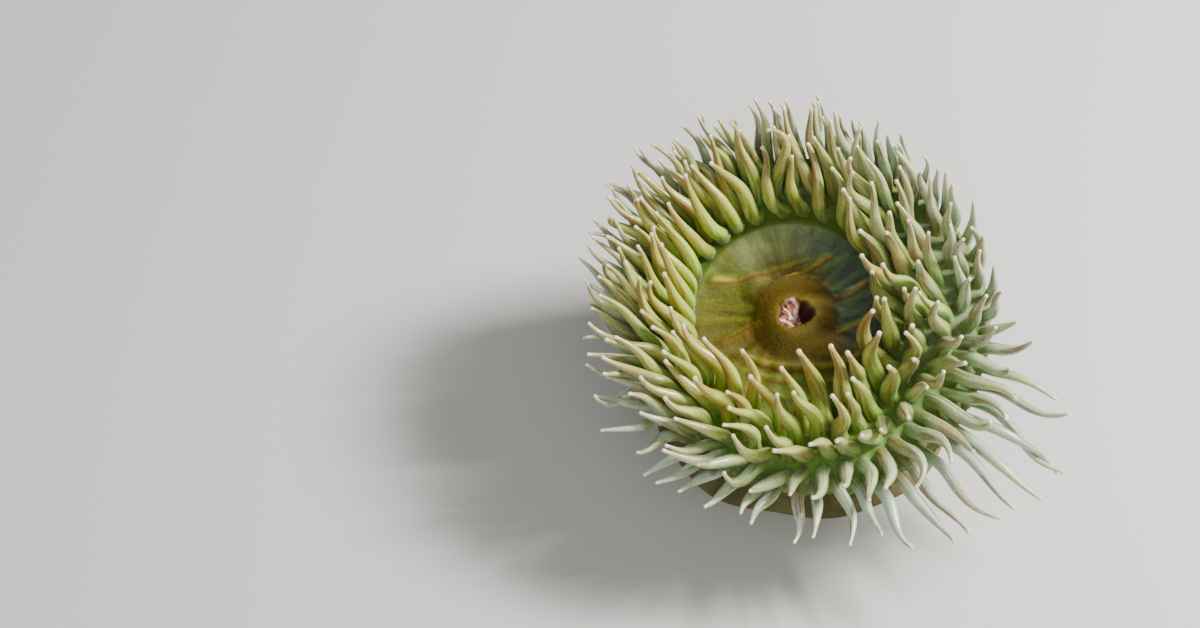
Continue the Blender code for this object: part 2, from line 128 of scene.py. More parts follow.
# The mound's own slope runs out behind it in a broad low swelling of the disc.
SWELLING = (((-24, 11.0), (-12, 14.0), (0, 14.5), (14, 10.0)), 6.5, 2.2)
# Pale cords of the throat's own folded lining, where it swells up into the left of the mouth.
CORDS = (
    (
        (
            *((-10.4, 3.6), (-8.4, 3.0), (-6.9, 4.4), (-5.0, 4.6)),
            *((-3.4, 3.2), (-3.6, 1.0), (-2.6, -1.6), (-0.8, -4.6)),
        ),
        0.8,
        1.0,
    ),
    (((-10.2, -3.4), (-7.8, -3.2), (-5.0, -4.4), (-2.4, -4.0), (-0.6, -5.2)), 0.7, 0.8),
    (((-8.6, 1.6), (-6.6, 0.8), (-5.6, -1.0), (-6.0, -2.8)), 0.6, 0.5),
)


def smoothstep(low, high, x):
    """0 below low and 1 above high, with an even S between: 3t^2 - 2t^3 of the share t of the way."""
    t = np.clip((x - low) / (high - low), 0.0, 1.0)
    return t * t * (3 - 2 * t)


def curve_through(stations, places):
    """Catmull-Rom: at place i + f the line is the cubic that leaves each station along the chord
    between its two neighbours. Stations are (..., n, k) and places run from 0 to n - 1."""
    last = stations.shape[-2] - 1
    i = np.minimum(places.astype(int), last - 1)
    f = (places - i)[:, None]
    a, b, c, d = (stations[..., np.clip(i + step, 0, last), :] for step in (-1, 0, 1, 2))
    return b + 0.5 * f * (c - a + f * (2 * a - 5 * b + 4 * c - d + f * (3 * (b - c) + d - a)))


def unit(vectors):
    """Vectors of length 1: v / |v|."""
    return vectors / np.linalg.norm(vectors, axis=-1, keepdims=True)


def crown_shape(u, v, w):
    """Gives a round crown its shape: mouth and disc are set to the front left, the disc is an oval,
    and the outer edge of the margin is rounder and bulges to the front right."""
    azimuth = np.arctan2(v, u)
    r = np.hypot(u, v)
    out = np.clip((r - DISC_RADIUS) / (2 * MARGIN_HALF_WIDTH), 0.0, 1.0)
    oval = DISC_OVAL * np.clip(r / DISC_RADIUS, 0.0, 1.0) ** 2 + (CROWN_OVAL - DISC_OVAL) * out
    spread = 1 - oval * np.cos(2 * azimuth) + CROWN_LOBE * out * np.cos(azimuth - LOBE_AZIMUTH)
    circles = (MOUTH_RADIUS, DISC_RADIUS, DISC_RADIUS + 2 * MARGIN_HALF_WIDTH)
    right, back = (np.interp(r, circles, (*pair, 0.0)) for pair in zip(MOUTH_SHIFT, DISC_SHIFT))
    return u * spread + right, v * spread + back, w


def lean(x, y, z):
    """Bends the upright body forward along an arc that starts on top of the foot and ends where the
    crown begins. Above that it is turned as a whole."""
    bend = CROWN_LEAN / (COLUMN_TOP - FOOT_HEIGHT)
    rise = np.clip(z - FOOT_HEIGHT, 0.0, COLUMN_TOP - FOOT_HEIGHT)
    turn = bend * rise
    above = z - FOOT_HEIGHT - rise
    axis_y = -(1 - np.cos(turn)) / bend - above * np.sin(turn)
    axis_z = FOOT_HEIGHT + np.sin(turn) / bend + above * np.cos(turn)
    return x, axis_y + y * np.cos(turn), axis_z + y * np.sin(turn)


def bumps(x, y, wide, high, rng):
    """Rounded bumps, one a cell, each shifted and sized by chance in its cell: the height is
    (1 - d^2)^1.5 of the distance d from the nearest middle over its size. x wraps round."""
    shift = rng.uniform(-WART_SHIFT, WART_SHIFT, (high, wide, 2))
    size = rng.uniform(*WART_SIZES, (high, wide))
    tall = rng.uniform(*WART_HEIGHTS, (high, wide))
    row = np.floor(y)
    best = np.zeros_like(x)
    for down in (-1, 0, 1):
        j = row + down
        offset = 0.5 * (j % 2)
        for across in (-1, 0, 1):
            i = np.floor(x - offset) + across
            cell = (np.clip(j, 0, high - 1).astype(int), (i % wide).astype(int))
            dx = x - offset - i - 0.5 - shift[cell][..., 0]
            dy = y - j - 0.5 - shift[cell][..., 1]
            inside = np.clip(1 - (dx**2 + dy**2) / size[cell] ** 2, 0.0, 1.0)
            best = np.maximum(best, np.where((j < 0) | (j >= high), 0.0, tall[cell] * inside**1.5))
    return best


def with_poles(rings):
    """Rings (tubes, rows, around, k) as points, with each tube's end points in the middle of its first
    and last rings."""
    count, _, _, size = rings.shape
    start, end = rings[:, :1].mean(2), rings[:, -1:].mean(2)
    return np.concatenate([start, rings.reshape(count, -1, size), end], axis=1)


def closed_tubes(name, rings, levels, marks):
    """A mesh of tubes (tubes, rows, around, 3), each closed by a fan at both ends. The map OFBake
    gives each tube its own patch of a grid: across it runs round the tube, up it along the tube at
    the levels given. Marks are numbers for the material, one or three to a point."""
    count, rows, around, _ = rings.shape
    points = with_poles(rings)
    first = np.arange(count)[:, None, None] * points.shape[1]
    ring = first + 1 + np.arange(rows)[:, None] * around + np.arange(around)
    beside = np.roll(ring, -1, 2)
    quads = np.stack([ring[:, :-1], beside[:, :-1], beside[:, 1:], ring[:, 1:]], -1).reshape(-1, 4)
    start = np.broadcast_to(first[:, 0], (count, around))
    fans = np.stack([start, beside[:, 0], ring[:, 0]], -1).reshape(-1, 3)
    end = start + points.shape[1] - 1
    caps = np.stack([ring[:, -1], beside[:, -1], end], -1).reshape(-1, 3)

    low, high = np.arange(around) / around, (np.arange(around) + 1) / around
    across = np.broadcast_to(np.stack([low, high, high, low], -1), (count, rows - 1, around, 4))
    up = np.stack([levels[1:-2], levels[1:-2], levels[2:-1], levels[2:-1]], -1)[None, :, None]
    up = np.broadcast_to(up, across.shape)
    middle = (low + high) / 2
    fan_x = np.broadcast_to(np.stack([middle, high, low], -1), (count, around, 3))
    cap_x = np.broadcast_to(np.stack([low, high, middle], -1), (count, around, 3))
    fan_y = np.broadcast_to(levels[[0, 1, 1]], fan_x.shape)
    cap_y = np.broadcast_to(levels[[-2, -2, -1]], cap_x.shape)
    columns = math.ceil(math.sqrt(count))
    tube = np.arange(count)
    corner = np.stack([tube % columns, tube // columns], -1)

    def laid(x, y):
        where = corner.reshape(count, *[1] * (x.ndim - 1), 2)
        inner = PATCH_EDGE + (1 - 2 * PATCH_EDGE) * np.stack([x, y], -1)
        return ((where + inner) / columns).reshape(-1, 2)

    mesh = bpy.data.meshes.new(name)
    mesh.from_pydata(points.reshape(-1, 3), [], quads.tolist() + fans.tolist() + caps.tolist())
    layout = np.concatenate([laid(across, up), laid(fan_x, fan_y), laid(cap_x, cap_y)])
    mesh.uv_layers.new(name="OFBake").uv.foreach_set("vector", layout.ravel())
    for mark, values in marks.items():
        values = np.broadcast_to(values, (*rings.shape[:3], values.shape[-1]))
        kind, field = ("FLOAT", "value") if values.shape[-1] == 1 else ("FLOAT_VECTOR", "vector")
        mesh.attributes.new(mark, kind, "POINT").data.foreach_set(field, with_poles(values).ravel())
    mesh.shade_smooth()
    made = bpy.data.objects.new(name, mesh)
    bpy.context.scene.collection.objects.link(made)
    return made


# The wall's stations keep clear of both its ends, where the foot and the parapet round it off.
share = np.linspace(0.06, 0.94, 12)
wall_radius = COLUMN_WAIST + COLUMN_BULGE * np.sin(math.pi * share)
wall_radius = (wall_radius + (COLLAR_RADIUS - COLUMN_WAIST) * share**3) / MM
wall_line = np.stack([wall_radius, (FOOT_HEIGHT + (COLUMN_TOP - FOOT_HEIGHT) * share) / MM], 1)
margin_sweep = MARGIN_DEGREES[0] - MARGIN_DEGREES[1]
turns = np.radians(MARGIN_DEGREES[0] - margin_sweep * np.linspace(0.0, 1.0, 11) ** MARGIN_CROWDING)
margin_radius = MARGIN_MIDDLE + MARGIN_HALF_WIDTH * np.sin(turns)
margin_height = COLUMN_TOP + MARGIN_CENTRE_W + MARGIN_HALF_HEIGHT * np.cos(turns)
margin_line = np.stack([margin_radius, margin_height], 1) / MM
stretches = (
    ("foot", 24, FOOT_LINE),
    ("wall", 78, wall_line),
    ("parapet", 12, PARAPET_LINE),
    ("margin", 34, margin_line),
    ("disc", 58, DISC_LINE),
    ("mouth", 40, MOUTH_LINE),
    ("throat", 18, THROAT_LINE),
)
stations = np.concatenate([np.array(line, float) * MM for _, _, line in stretches])
ends = np.cumsum([0] + [len(line) for _, _, line in stretches])
ends[-1] -= 1
row_ends = np.cumsum([0] + [rows for _, rows, _ in stretches])
profile = curve_through(stations, np.interp(np.arange(row_ends[-1] + 1), row_ends, ends))
profile[:, 1] = np.maximum(profile[:, 1], 0.0)
place = {name: row_ends[k] / row_ends[-1] for k, (name, _, _) in enumerate(stretches)}
along = np.linspace(0.0, 1.0, len(profile))

rng = np.random.default_rng(SKIN_SEED)
around = np.linspace(0.0, 2 * math.pi, SKIN_AROUND, endpoint=False)
angle, along_grid = np.broadcast_arrays(around, along[:, None])
r, z = (np.broadcast_to(profile[:, k, None], angle.shape) for k in (0, 1))
slope = np.gradient(profile, axis=0)
slope /= np.linalg.norm(slope, axis=1, keepdims=True)
normal_r, normal_z = slope[:, 1, None], -slope[:, 0, None]

up_wall = (z - FOOT_HEIGHT) / (COLUMN_TOP - FOOT_HEIGHT)
on_wall = smoothstep(place["wall"] - 0.02, place["wall"] + 0.02, along_grid)
on_wall = on_wall * (1 - smoothstep(place["parapet"] + 0.01, place["margin"] + 0.02, along_grid))
warts = bumps(angle / (2 * math.pi) * WARTS_AROUND, up_wall * WART_ROWS, WARTS_AROUND, WART_ROWS, rng)
warts = warts * on_wall
over_margin = np.clip((along_grid - place["margin"]) / (place["disc"] - place["margin"]), 0.0, 1.0)
up_rim = margin_sweep * over_margin**MARGIN_CROWDING / RIM_WART_DEGREES
rim_x = angle / (2 * math.pi) * RIM_WARTS_AROUND
rim_warts = bumps(rim_x, up_rim * RIM_WART_ROWS, RIM_WARTS_AROUND, RIM_WART_ROWS, rng)
rim_warts = rim_warts * smoothstep(place["margin"] - 0.012, place["margin"] + 0.012, along_grid)
warts = warts + RIM_WART_HEIGHT / WART_HEIGHT * rim_warts
ribs = np.cos(RIBS * angle + 1.5 * np.sin(3 * angle)) * np.sin(math.pi * np.clip(up_wall, 0, 1))
ridges = np.cos(FOOT_RIDGES * angle + 2 * np.sin(5 * angle)) * smoothstep(1.5 * MM, 4 * MM, z)
ridges = ridges * (1 - smoothstep(place["wall"] - 0.01, place["wall"] + 0.02, along_grid))
grooves = np.cos(RIM_GROOVES * angle + np.sin(7 * angle))
grooves = grooves * smoothstep(place["margin"] - 0.005, place["margin"] + 0.02, along_grid)
grooves = grooves * (1 - smoothstep(place["margin"] + 0.04, place["margin"] + 0.08, along_grid))
push = WART_HEIGHT * warts + RIB_HEIGHT * ribs * on_wall
push = push + FOOT_RIDGE_HEIGHT * ridges + RIM_GROOVE_HEIGHT * grooves
edge = np.clip((r / FOOT_RADIUS - FOOT_EDGE) / (1 - FOOT_EDGE), 0.0, 1.0) * (z < FOOT_HEIGHT)
wave = sum(height * np.sin(count * angle + phase) for count, height, phase in FOOT_LOBES)
spread = 1 + FOOT_WAVE * wave * edge

on_disc = smoothstep(15 * MM, 19 * MM, r) * (1 - smoothstep(35 * MM, 39 * MM, r))
on_disc = on_disc * (along_grid > place["disc"] - 0.02)
ripple = SPOKE_HEIGHT * np.cos(SPOKES * angle) + DISC_WARP * np.sin(2 * angle + 0.8)


def creased(u, v, stations, half_width):
    """How far a place is on a fold that runs through stations: a bell exp(-d^2) of its distance d
    in half widths, which fades towards both ends. The second number is d's sign, softened, times
    the bell: positive on the side to the left of the way along the fold."""
    stations = np.array(stations, float) * MM
    places = np.linspace(0.0, len(stations) - 1, 90)
    line = curve_through(stations, places)
    way = unit(np.gradient(line, axis=0))
    du, dv = u[..., None] - line[:, 0], v[..., None] - line[:, 1]
    nearest = np.argmin(du**2 + dv**2, -1)
    du, dv = (np.take_along_axis(d, nearest[..., None], -1)[..., 0] for d in (du, dv))
    way_u, way_v = way[nearest, 0], way[nearest, 1]
    distance = np.hypot(du, dv) / half_width
    side = (way_u * dv - way_v * du) / half_width
    run = nearest / (len(places) - 1)
    bell = np.exp(-(distance**2)) * smoothstep(0.0, 0.2, run) * smoothstep(1.0, 0.8, run)
    return bell, bell * np.clip(1.6 * side, -1.0, 1.0)


lip = np.exp(-(((r - LIP_RADIUS) / LIP_WIDTH) ** 2)) * (along_grid > place["mouth"])
in_throat = smoothstep(place["throat"] - 0.03, place["throat"] + 0.02, along_grid)
pleats = np.cos(PLEATS * angle + 2.2 * np.sin(2 * angle + 1.0) + 1.2 * np.sin(5 * angle))
uneven = sum(height * np.cos(count * angle + phase) for count, height, phase in MOUTH_BENDS)
pinch = (PLEAT_DEPTHS[0] * pleats + uneven) * lip
pinch = pinch + (PLEAT_DEPTHS[1] * pleats + THROAT_BEND * uneven) * in_throat
swollen = in_throat * smoothstep(-0.8 * MM, 1.6 * MM, r * np.cos(angle - math.radians(175)))
heave = THROAT_SWELL * swollen * (THROAT_TOP - z)
crown_up = np.clip(up_wall, 0.0, 1.0) ** 2


def shaped(push):
    """The skin's points before it leans: the profile plus the push along its normal, carried round the
    axis, then moved the share crown_up of the way to the crown's shape."""
    radius = (r + push * normal_r) * spread * (1 + pinch)
    height = z + push * normal_z + heave
    round_points = np.stack([radius * np.cos(angle), radius * np.sin(angle), height], -1)
    wide = np.stack(crown_shape(*np.moveaxis(round_points, -1, 0)), -1)
    return round_points + (wide - round_points) * crown_up[..., None]


# The folds' stations are places on the finished crown, so it is shaped once before they are laid.
u, v, _ = np.moveaxis(shaped(push), -1, 0)
folds, sides, raised = np.zeros_like(r), np.zeros_like(r), np.zeros_like(r)
for fold_line, half_width, height in FOLDS:
    bell, side = creased(u, v, fold_line, half_width * MM)
    folds = np.maximum(folds, bell)
    sides = np.where(np.abs(side) > np.abs(sides), side, sides)
    raised = np.maximum(raised, height * MM * bell)
on_folds = on_disc + (along_grid > place["disc"]) * (along_grid < place["throat"] - 0.1) * (r < 19 * MM)
on_folds = np.clip(on_folds, 0.0, 1.0) * smoothstep(12 * MM, 16 * MM, r)
folds, sides = folds * on_folds, sides * on_folds
swelling_line, swelling_half_width, swelling_height = SWELLING
swell, _ = creased(u, v, swelling_line, swelling_half_width * MM)
swell = swell * (along_grid > place["disc"]) * smoothstep(8 * MM, 15 * MM, r)
push = push + on_disc * ripple + raised * on_folds + swelling_height * MM * swell
cords = np.zeros_like(r)
for cord_line, half_width, height in CORDS:
    bell, _ = creased(u, v, cord_line, half_width * MM)
    bell = bell * (along_grid > place["throat"] - 0.05)
    cords = np.maximum(cords, bell)
    heave = heave + height * MM * bell
upright = shaped(push)
skin_points = np.stack(lean(*np.moveaxis(upright, -1, 0)), -1)
crown = upright - np.array([0.0, 0.0, COLUMN_TOP])

# On the map the skin's rows lie as far apart as on its profile, with 2 and 1.2 mm for its poles.
step = np.linalg.norm(np.diff(profile, axis=0), axis=1)
levels = np.concatenate([[0.0], 2 * MM + np.concatenate([[0.0], np.cumsum(step)])])
levels = np.concatenate([levels, [levels[-1] + 1.2 * MM]])
frills = np.maximum(cords, swollen * (0.34 + 0.12 * pleats))
marks = {"along": along_grid, "wart": warts, "fold": folds, "side": sides, "frill": frills}
marks = {name: values[None, ..., None] for name, values in marks.items()}
skin = closed_tubes("skin", skin_points[None], levels / levels[-1], marks | {"crown": crown[None]})


def add(tree, kind, values=None, **settings):
    """One shader node: values are numbers, colours or other nodes' sockets, by input name."""
    made = tree.nodes.new("ShaderNode" + kind)
    for key, value in settings.items():
        setattr(made, key, value)
    for key, value in (values or {}).items():
        if isinstance(value, bpy.types.NodeSocket):
            tree.links.new(value, made.inputs[key])
        else:
            made.inputs[key].default_value = value
    return made


def rgb(red, green, blue):
    """A colour as a painter reads it, 0 to 255, turned to the linear numbers that shaders use: for a
    share s of 255, s / 12.92 in the darks and ((s + 0.055) / 1.055)^2.4 above."""
    part = np.array([red, green, blue]) / 255
    return (*np.where(part > 0.04045, ((part + 0.055) / 1.055) ** 2.4, part / 12.92).tolist(), 1.0)


def sloped(tree, value, slope, base):
    """slope * value + base, as a node."""
    return add(tree, "Math", {0: value, 1: slope, 2: base}, operation="MULTIPLY_ADD").outputs[0]


def times(tree, *masks):
    """The product of masks and strengths, as nodes."""
    product, *others = masks
    for mask in others:
        product = add(tree, "Math", {0: product, 1: mask}, operation="MULTIPLY").outputs[0]
    return product


def noise(tree, where, scale, detail):
    """Noise of a place, about 0.5 on the whole, as a node."""
    return add(tree, "TexNoise", {"Vector": where, "Scale": scale, "Detail": detail}).outputs[0]


def faded(tree, value, low, high):
    """The smooth step between low and high, as a node."""
    values = {"Value": value, "From Min": low, "From Max": high}
    return add(tree, "MapRange", values, interpolation_type="SMOOTHSTEP").outputs[0]


def mixed(tree, mask, below, above):
    """(1 - m) * below + m * above, as a node."""
    return add(tree, "Mix", {0: mask, 6: below, 7: above}, data_type="RGBA").outputs[2]


def painted(tree, below, tint, *masks):
    """A tint, given in 0 to 255, laid over what is below it by the product of the masks."""
    return mixed(tree, times(tree, *masks), below, rgb(*tint))


def speckled(tree, below, grain, slope, base, strength):
    """Grain laid on a colour: its brightness is multiplied by slope * grain + base, with a strength."""
    grained = add(tree, "HueSaturation", {"Color": below, "Value": sloped(tree, grain, slope, base)})
    return mixed(tree, strength, below, grained.outputs[0])


def vector(tree, operation, a, b=(0.0, 0.0, 0.0), output=0):
    """A step of vector sums on places, as a node."""
    return add(tree, "VectorMath", {0: a, 1: b}, operation=operation).outputs[output]


def read(tree, name, output="Fac"):
    """A mark of the mesh's points, as a node."""
    return add(tree, "Attribute", attribute_name=name).outputs[output]


def ramp(tree, value, stops):
    """Colours, in 0 to 255, along a value, with soft steps between them."""
    made = add(tree, "ValToRGB", {0: value})
    made.color_ramp.interpolation = "EASE"
    points = made.color_ramp.elements
    while len(points) < len(stops):
        points.new(0.5)
    for point, (position, colour) in zip(points, stops):
        point.position = position
        point.color = rgb(*colour)
    return made.outputs[0]


# The grain of the flesh, for both materials: slow blotches, fine grain, and a height for the bump.
flesh_grain = bpy.data.node_groups.new("flesh_grain", "ShaderNodeTree")
for label, kind in (("Place", "Vector"), ("Blotch Scale", "Float"), ("Grain Scale", "Float")):
    flesh_grain.interface.new_socket(label, in_out="INPUT", socket_type="NodeSocket" + kind)
for label in ("Blotch", "Grain", "Height"):
    flesh_grain.interface.new_socket(label, in_out="OUTPUT", socket_type="NodeSocketFloat")
place_in, blotch_in, grain_in = flesh_grain.nodes.new("NodeGroupInput").outputs[:3]
leave = flesh_grain.nodes.new("NodeGroupOutput")
blotch = noise(flesh_grain, place_in, blotch_in, 4.0)
grain = noise(flesh_grain, place_in, grain_in, 3.0)
cells = add(flesh_grain, "TexVoronoi", {"Vector": place_in, "Scale": grain_in}).outputs["Distance"]
height = sloped(flesh_grain, cells, -0.5, grain)
for value, socket in zip((blotch, grain, height), leave.inputs):
    flesh_grain.links.new(value, socket)


def flesh(name, scatter, film, sheen, blotch_scale, grain_scale):
    """A wet, slightly clear flesh: light soaks in a few millimetres, under a thin smooth film. Gives
    the material with its tree, its shader, and the grain's blotch, grain and height."""
    made = bpy.data.materials.new(name)
    made.use_nodes = True
    tree = made.node_tree
    shader = tree.nodes["Principled BSDF"]
    for key, value in (
        ("IOR", 1.38),
        ("Subsurface Weight", scatter),
        ("Subsurface Radius", (1.0, 0.9, 0.35)),
        ("Subsurface Scale", 1.8 * MM),
        ("Coat Weight", film),
        ("Coat Roughness", 0.14),
        ("Sheen Weight", sheen),
        ("Sheen Roughness", 0.35),
    ):
        shader.inputs[key].default_value = value
    grained = add(tree, "Group", node_tree=flesh_grain)
    tree.links.new(add(tree, "TexCoord").outputs["Object"], grained.inputs["Place"])
    grained.inputs["Blotch Scale"].default_value = blotch_scale
    grained.inputs["Grain Scale"].default_value = grain_scale
    return made, tree, shader, *grained.outputs


skin_flesh, tree, shader, blotch, grain, height = flesh(
    "skin_flesh", scatter=0.22, film=0.0, sheen=0.0, blotch_scale=55.0, grain_scale=700.0
)
shader.inputs["Specular IOR Level"].default_value = 0.3
along_value = read(tree, "along")
body = ramp(
    tree,
    along_value,
    (
        (0.0, (130, 118, 84)),
        (place["wall"] - 0.03, (98, 90, 52)),
        (place["wall"] + 0.06, (74, 72, 38)),
        (place["parapet"] - 0.08, (84, 88, 44)),
        (place["margin"], (82, 90, 40)),
        (place["margin"] + 0.075, (84, 112, 44)),
        (place["disc"] - 0.01, (74, 92, 24)),
        (place["disc"] + 0.05, (90, 102, 28)),
        (place["disc"] + 0.13, (98, 96, 24)),
        (place["mouth"] - 0.02, (88, 70, 14)),
        (place["mouth"] + 0.05, (82, 64, 6)),
        (place["mouth"] + 0.10, (94, 78, 10)),
        (place["throat"] - 0.035, (88, 62, 24)),
        (place["throat"] - 0.015, (66, 34, 28)),
        (1.0, (54, 24, 22)),
    ),
)
crown_place = read(tree, "crown", "Vector")
right, back = add(tree, "SeparateXYZ", {0: crown_place}).outputs[:2]
flat = add(tree, "CombineXYZ", {0: right, 1: back}).outputs[0]
waver = noise(tree, crown_place, 60.0, 3.0)


def nearness(middle, near, far):
    """1 within near of a middle on the crown, 0 beyond far, in mm, with an edge that wavers by 7 mm:
    the distance d is read as d + 14 mm * (noise - 0.5)."""
    offset = vector(tree, "SUBTRACT", flat, (*(k * MM for k in middle), 0.0))
    distance = vector(tree, "LENGTH", offset, output="Value")
    distance = add(tree, "Math", {0: distance, 1: -7 * MM}, operation="ADD").outputs[0]
    return faded(tree, sloped(tree, waver, 14 * MM, distance), far * MM, near * MM)


def stretched(azimuth, along_scale, across_scale):
    """Noise drawn out along one direction of the crown: its place is turned, then each way has its
    own scale, per metre."""
    turned = add(tree, "VectorRotate", {"Vector": flat, "Angle": -math.radians(azimuth)}).outputs[0]
    scaled = vector(tree, "MULTIPLY", turned, (along_scale, across_scale, 1.0))
    return noise(tree, scaled, 1.0, 3.0)


# Spokes: noise on the direction from the mouth, which changes slowly with the distance.
from_mouth = vector(tree, "SUBTRACT", flat, (*MOUTH_SHIFT, 0.0))
mouth_distance = vector(tree, "LENGTH", from_mouth, output="Value")
spoke_way = vector(tree, "MULTIPLY", vector(tree, "NORMALIZE", from_mouth), (9.0, 9.0, 9.0))
spoke_right, spoke_back = add(tree, "SeparateXYZ", {0: spoke_way}).outputs[:2]
spoke_place = {0: spoke_right, 1: spoke_back, 2: times(tree, mouth_distance, 50.0)}
spoke_place = add(tree, "CombineXYZ", spoke_place).outputs[0]
spokes = noise(tree, spoke_place, 1.0, 4.0)

# Zones of the margin, on its top only: grey-green to the right, painted lighter to soften the shade
# between the fingers; deep green at the left, painted shade between the fingers; bright in front.
on_margin_top = times(
    tree,
    faded(tree, along_value, place["parapet"], place["margin"] + 0.02),
    faded(tree, along_value, place["disc"] + 0.02, place["disc"] - 0.02),
)
body = painted(tree, body, (112, 126, 92), nearness((52, 8), 18, 44), on_margin_top, 0.6)
body = painted(tree, body, (52, 68, 20), nearness((-58, 14), 22, 48), on_margin_top, 0.7)
inner_half = faded(tree, along_value, place["margin"] + 0.03, place["margin"] + 0.07)
body = painted(tree, body, (96, 142, 40), nearness((-22, -50), 24, 52), on_margin_top, inner_half, 0.7)

# Zones of the disc: grey-green behind, yellow-olive to the left, brown behind and before the mouth,
# green in front, and at the right dark green bands of painted shade crossed by stripes of painted
# light. Over them go the spokes and a slow drift.
on_face = times(
    tree,
    faded(tree, along_value, place["disc"] - 0.02, place["disc"] + 0.03),
    faded(tree, along_value, place["mouth"] + 0.04, place["mouth"] - 0.03),
)
for tint, middle, near, far, strength in (
    ((144, 152, 98), (-8, 31), 10, 25, 0.88),
    ((74, 72, 8), (-33, 2), 8, 26, 0.85),
    ((96, 66, 12), (-6, 17), 3, 17, 0.7),
    ((88, 62, 16), (12, -12), 2, 15, 0.6),
    ((88, 116, 34), (2, -32), 6, 16, 0.6),
):
    body = painted(tree, body, tint, nearness(middle, near, far), on_face, strength)
# Painted shade at the right of the disc: dark bands with paler stripes of painted light between them.
shade_bands = faded(tree, stretched(32, 22.0, 190.0), 0.44, 0.60)
shade_bands = painted(tree, rgb(70, 88, 86), (98, 122, 90), shade_bands)
for middle, near, far, strength in (((24, 8), 11, 28, 0.88), ((9, 33), 3, 22, 0.7)):
    body = mixed(tree, times(tree, nearness(middle, near, far), on_face, strength), body, shade_bands)
shade = sloped(tree, faded(tree, spokes, 0.30, 0.70), 0.75, 0.62)
spoked = add(tree, "HueSaturation", {"Color": body, "Value": shade}).outputs[0]
body = mixed(tree, times(tree, on_face, 0.8), body, spoked)
drift = faded(tree, stretched(4, 30.0, 240.0), 0.50, 0.66)
body = painted(tree, body, (120, 126, 40), drift, on_face, 0.2)

# Folds, painted as lit from one side: a rusty painted shade on the lee side, painted light on the
# far side and a pale, broken painted highlight along the ridge.
fold, side = read(tree, "fold"), read(tree, "side")
body = painted(tree, body, (108, 68, 8), faded(tree, side, -0.12, -0.75), 0.85)
body = painted(tree, body, (120, 132, 44), faded(tree, side, 0.2, 0.8), 0.5)
ridge_highlight = times(tree, faded(tree, fold, 0.55, 1.0), faded(tree, waver, 0.42, 0.66))
body = painted(tree, body, (160, 150, 54), ridge_highlight, 0.8)

# The throat's lining is pink with near-white cords. The foot is mottled and the warts have pale tips.
frill = read(tree, "frill")
inside = faded(tree, along_value, place["throat"] - 0.04, place["throat"] - 0.015)
body = painted(tree, body, (156, 98, 76), inside, faded(tree, frill, 0.05, 0.4))
body = painted(tree, body, (236, 214, 200), inside, faded(tree, frill, 0.42, 0.85))
on_foot = faded(tree, along_value, place["wall"] + 0.04, place["wall"] - 0.02)
body = painted(tree, body, (132, 128, 82), on_foot, faded(tree, waver, 0.48, 0.62), 0.5)
body = painted(tree, body, (140, 138, 92), faded(tree, read(tree, "wart"), 0.15, 0.9), 0.6)
body = painted(tree, body, (96, 64, 18), faded(tree, blotch, 0.5, 0.72), 0.35)
body = painted(tree, body, (66, 90, 34), faded(tree, blotch, 0.48, 0.30), 0.35)
body = speckled(tree, body, grain, 1.6, 0.2, 0.4)
tree.links.new(body, shader.inputs["Base Color"])
tree.links.new(sloped(tree, grain, 0.3, 0.50), shader.inputs["Roughness"])
bump = add(tree, "Bump", {"Strength": 0.6, "Distance": 0.35 * MM, "Height": height})
tree.links.new(bump.outputs[0], shader.inputs["Normal"])
skin.data.materials.append(skin_flesh)
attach(skin, "root")
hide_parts("pedal_disc", "column", "oral_disc", "mouth")

# Tentacles. Some 240 hollow fingers of the same flesh stand in five rows on the margin, stout and
# green below, slender and tan above, each with a pale knob at its tip. Their roots run into the skin.
# They are one piece for each eighth of the margin, each finger a ring of flesh carried along a line.
SECTORS = ("right", "back_right", "back", "back_left", "left", "front_left", "front", "front_right")
SECTOR_DEGREES = 360 / len(SECTORS)
GAP = 0.3 * MM
# Rows from the disc outwards: the place across the margin in degrees from its top, the count and the
# thickest radius.
ROWS = (
    (-52, 32, 3.00 * MM),
    (-26, 40, 2.80 * MM),
    (0, 48, 2.55 * MM),
    (28, 56, 2.30 * MM),
    (58, 64, 2.10 * MM),
)
# How a tip lies from its root, in millimetres to the right, to the back and up, for the inner, middle
# and outer rows at each azimuth in degrees from the right.
POSE = {
    0: ((-11, 1, 25), (-8, 3, 28), (2, 3, 20)),
    45: ((-10, 9, 27), (-7, 8, 29), (0, 6, 24)),
    90: ((-9, 8, 29), (-7, 10, 30), (-4, 11, 27)),
    135: ((-14, 9, 29), (-17, 11, 25), (-18, 12, 21)),
    180: ((-9, 12, 29), (-18, 9, 25), (-18, 8, 21)),
    215: ((-11, 15, 29), (-20, 4, 26), (-23, -6, 14)),
    245: ((-5, 16, 30), (-17, 0, 27), (-18, -16, 10)),
    275: ((-4, 13, 31), (-9, -7, 28), (4, -25, 8)),
    305: ((-4, 10, 32), (-4, -12, 27), (27, -31, 4)),
    332: ((-7, 5, 28), (11, -7, 27), (40, -21, 2)),
}
# Radii along a finger, in its thickest radius, at shares of its length. THICKNESS is the room that it
# keeps from its neighbours. TAPER is its flesh, which narrows more evenly, to a thicker neck.
SHARES = (0.0, 0.08, 0.20, 0.38, 0.52, 0.66, 0.80, 0.91, 0.96, 1.0)
THICKNESS = (0.92, 0.96, 1.00, 0.98, 0.81, 0.50, 0.32, 0.25, 0.27, 0.18)
TAPER = (0.92, 0.95, 0.97, 0.93, 0.81, 0.60, 0.42, 0.30, 0.26, 0.19)
TAPER_STEPS = 40
# Roots: how deep they sink, how chance scatters them, and how they make room for one another.
SEED = 11
ROOT_SINK = 2.2 * MM
ROOT_SCATTER = 7
ROOT_JITTER = 0.15
ROOT_CLEARANCE = 0.6 * MM
ROOT_ROOM = 1.05
ROOT_PUSH = 0.4
ROOT_ROUNDS = 60
SECTOR_ROOM = 1.15
ROOT_LIMITS = (math.radians(-58), math.radians(68))
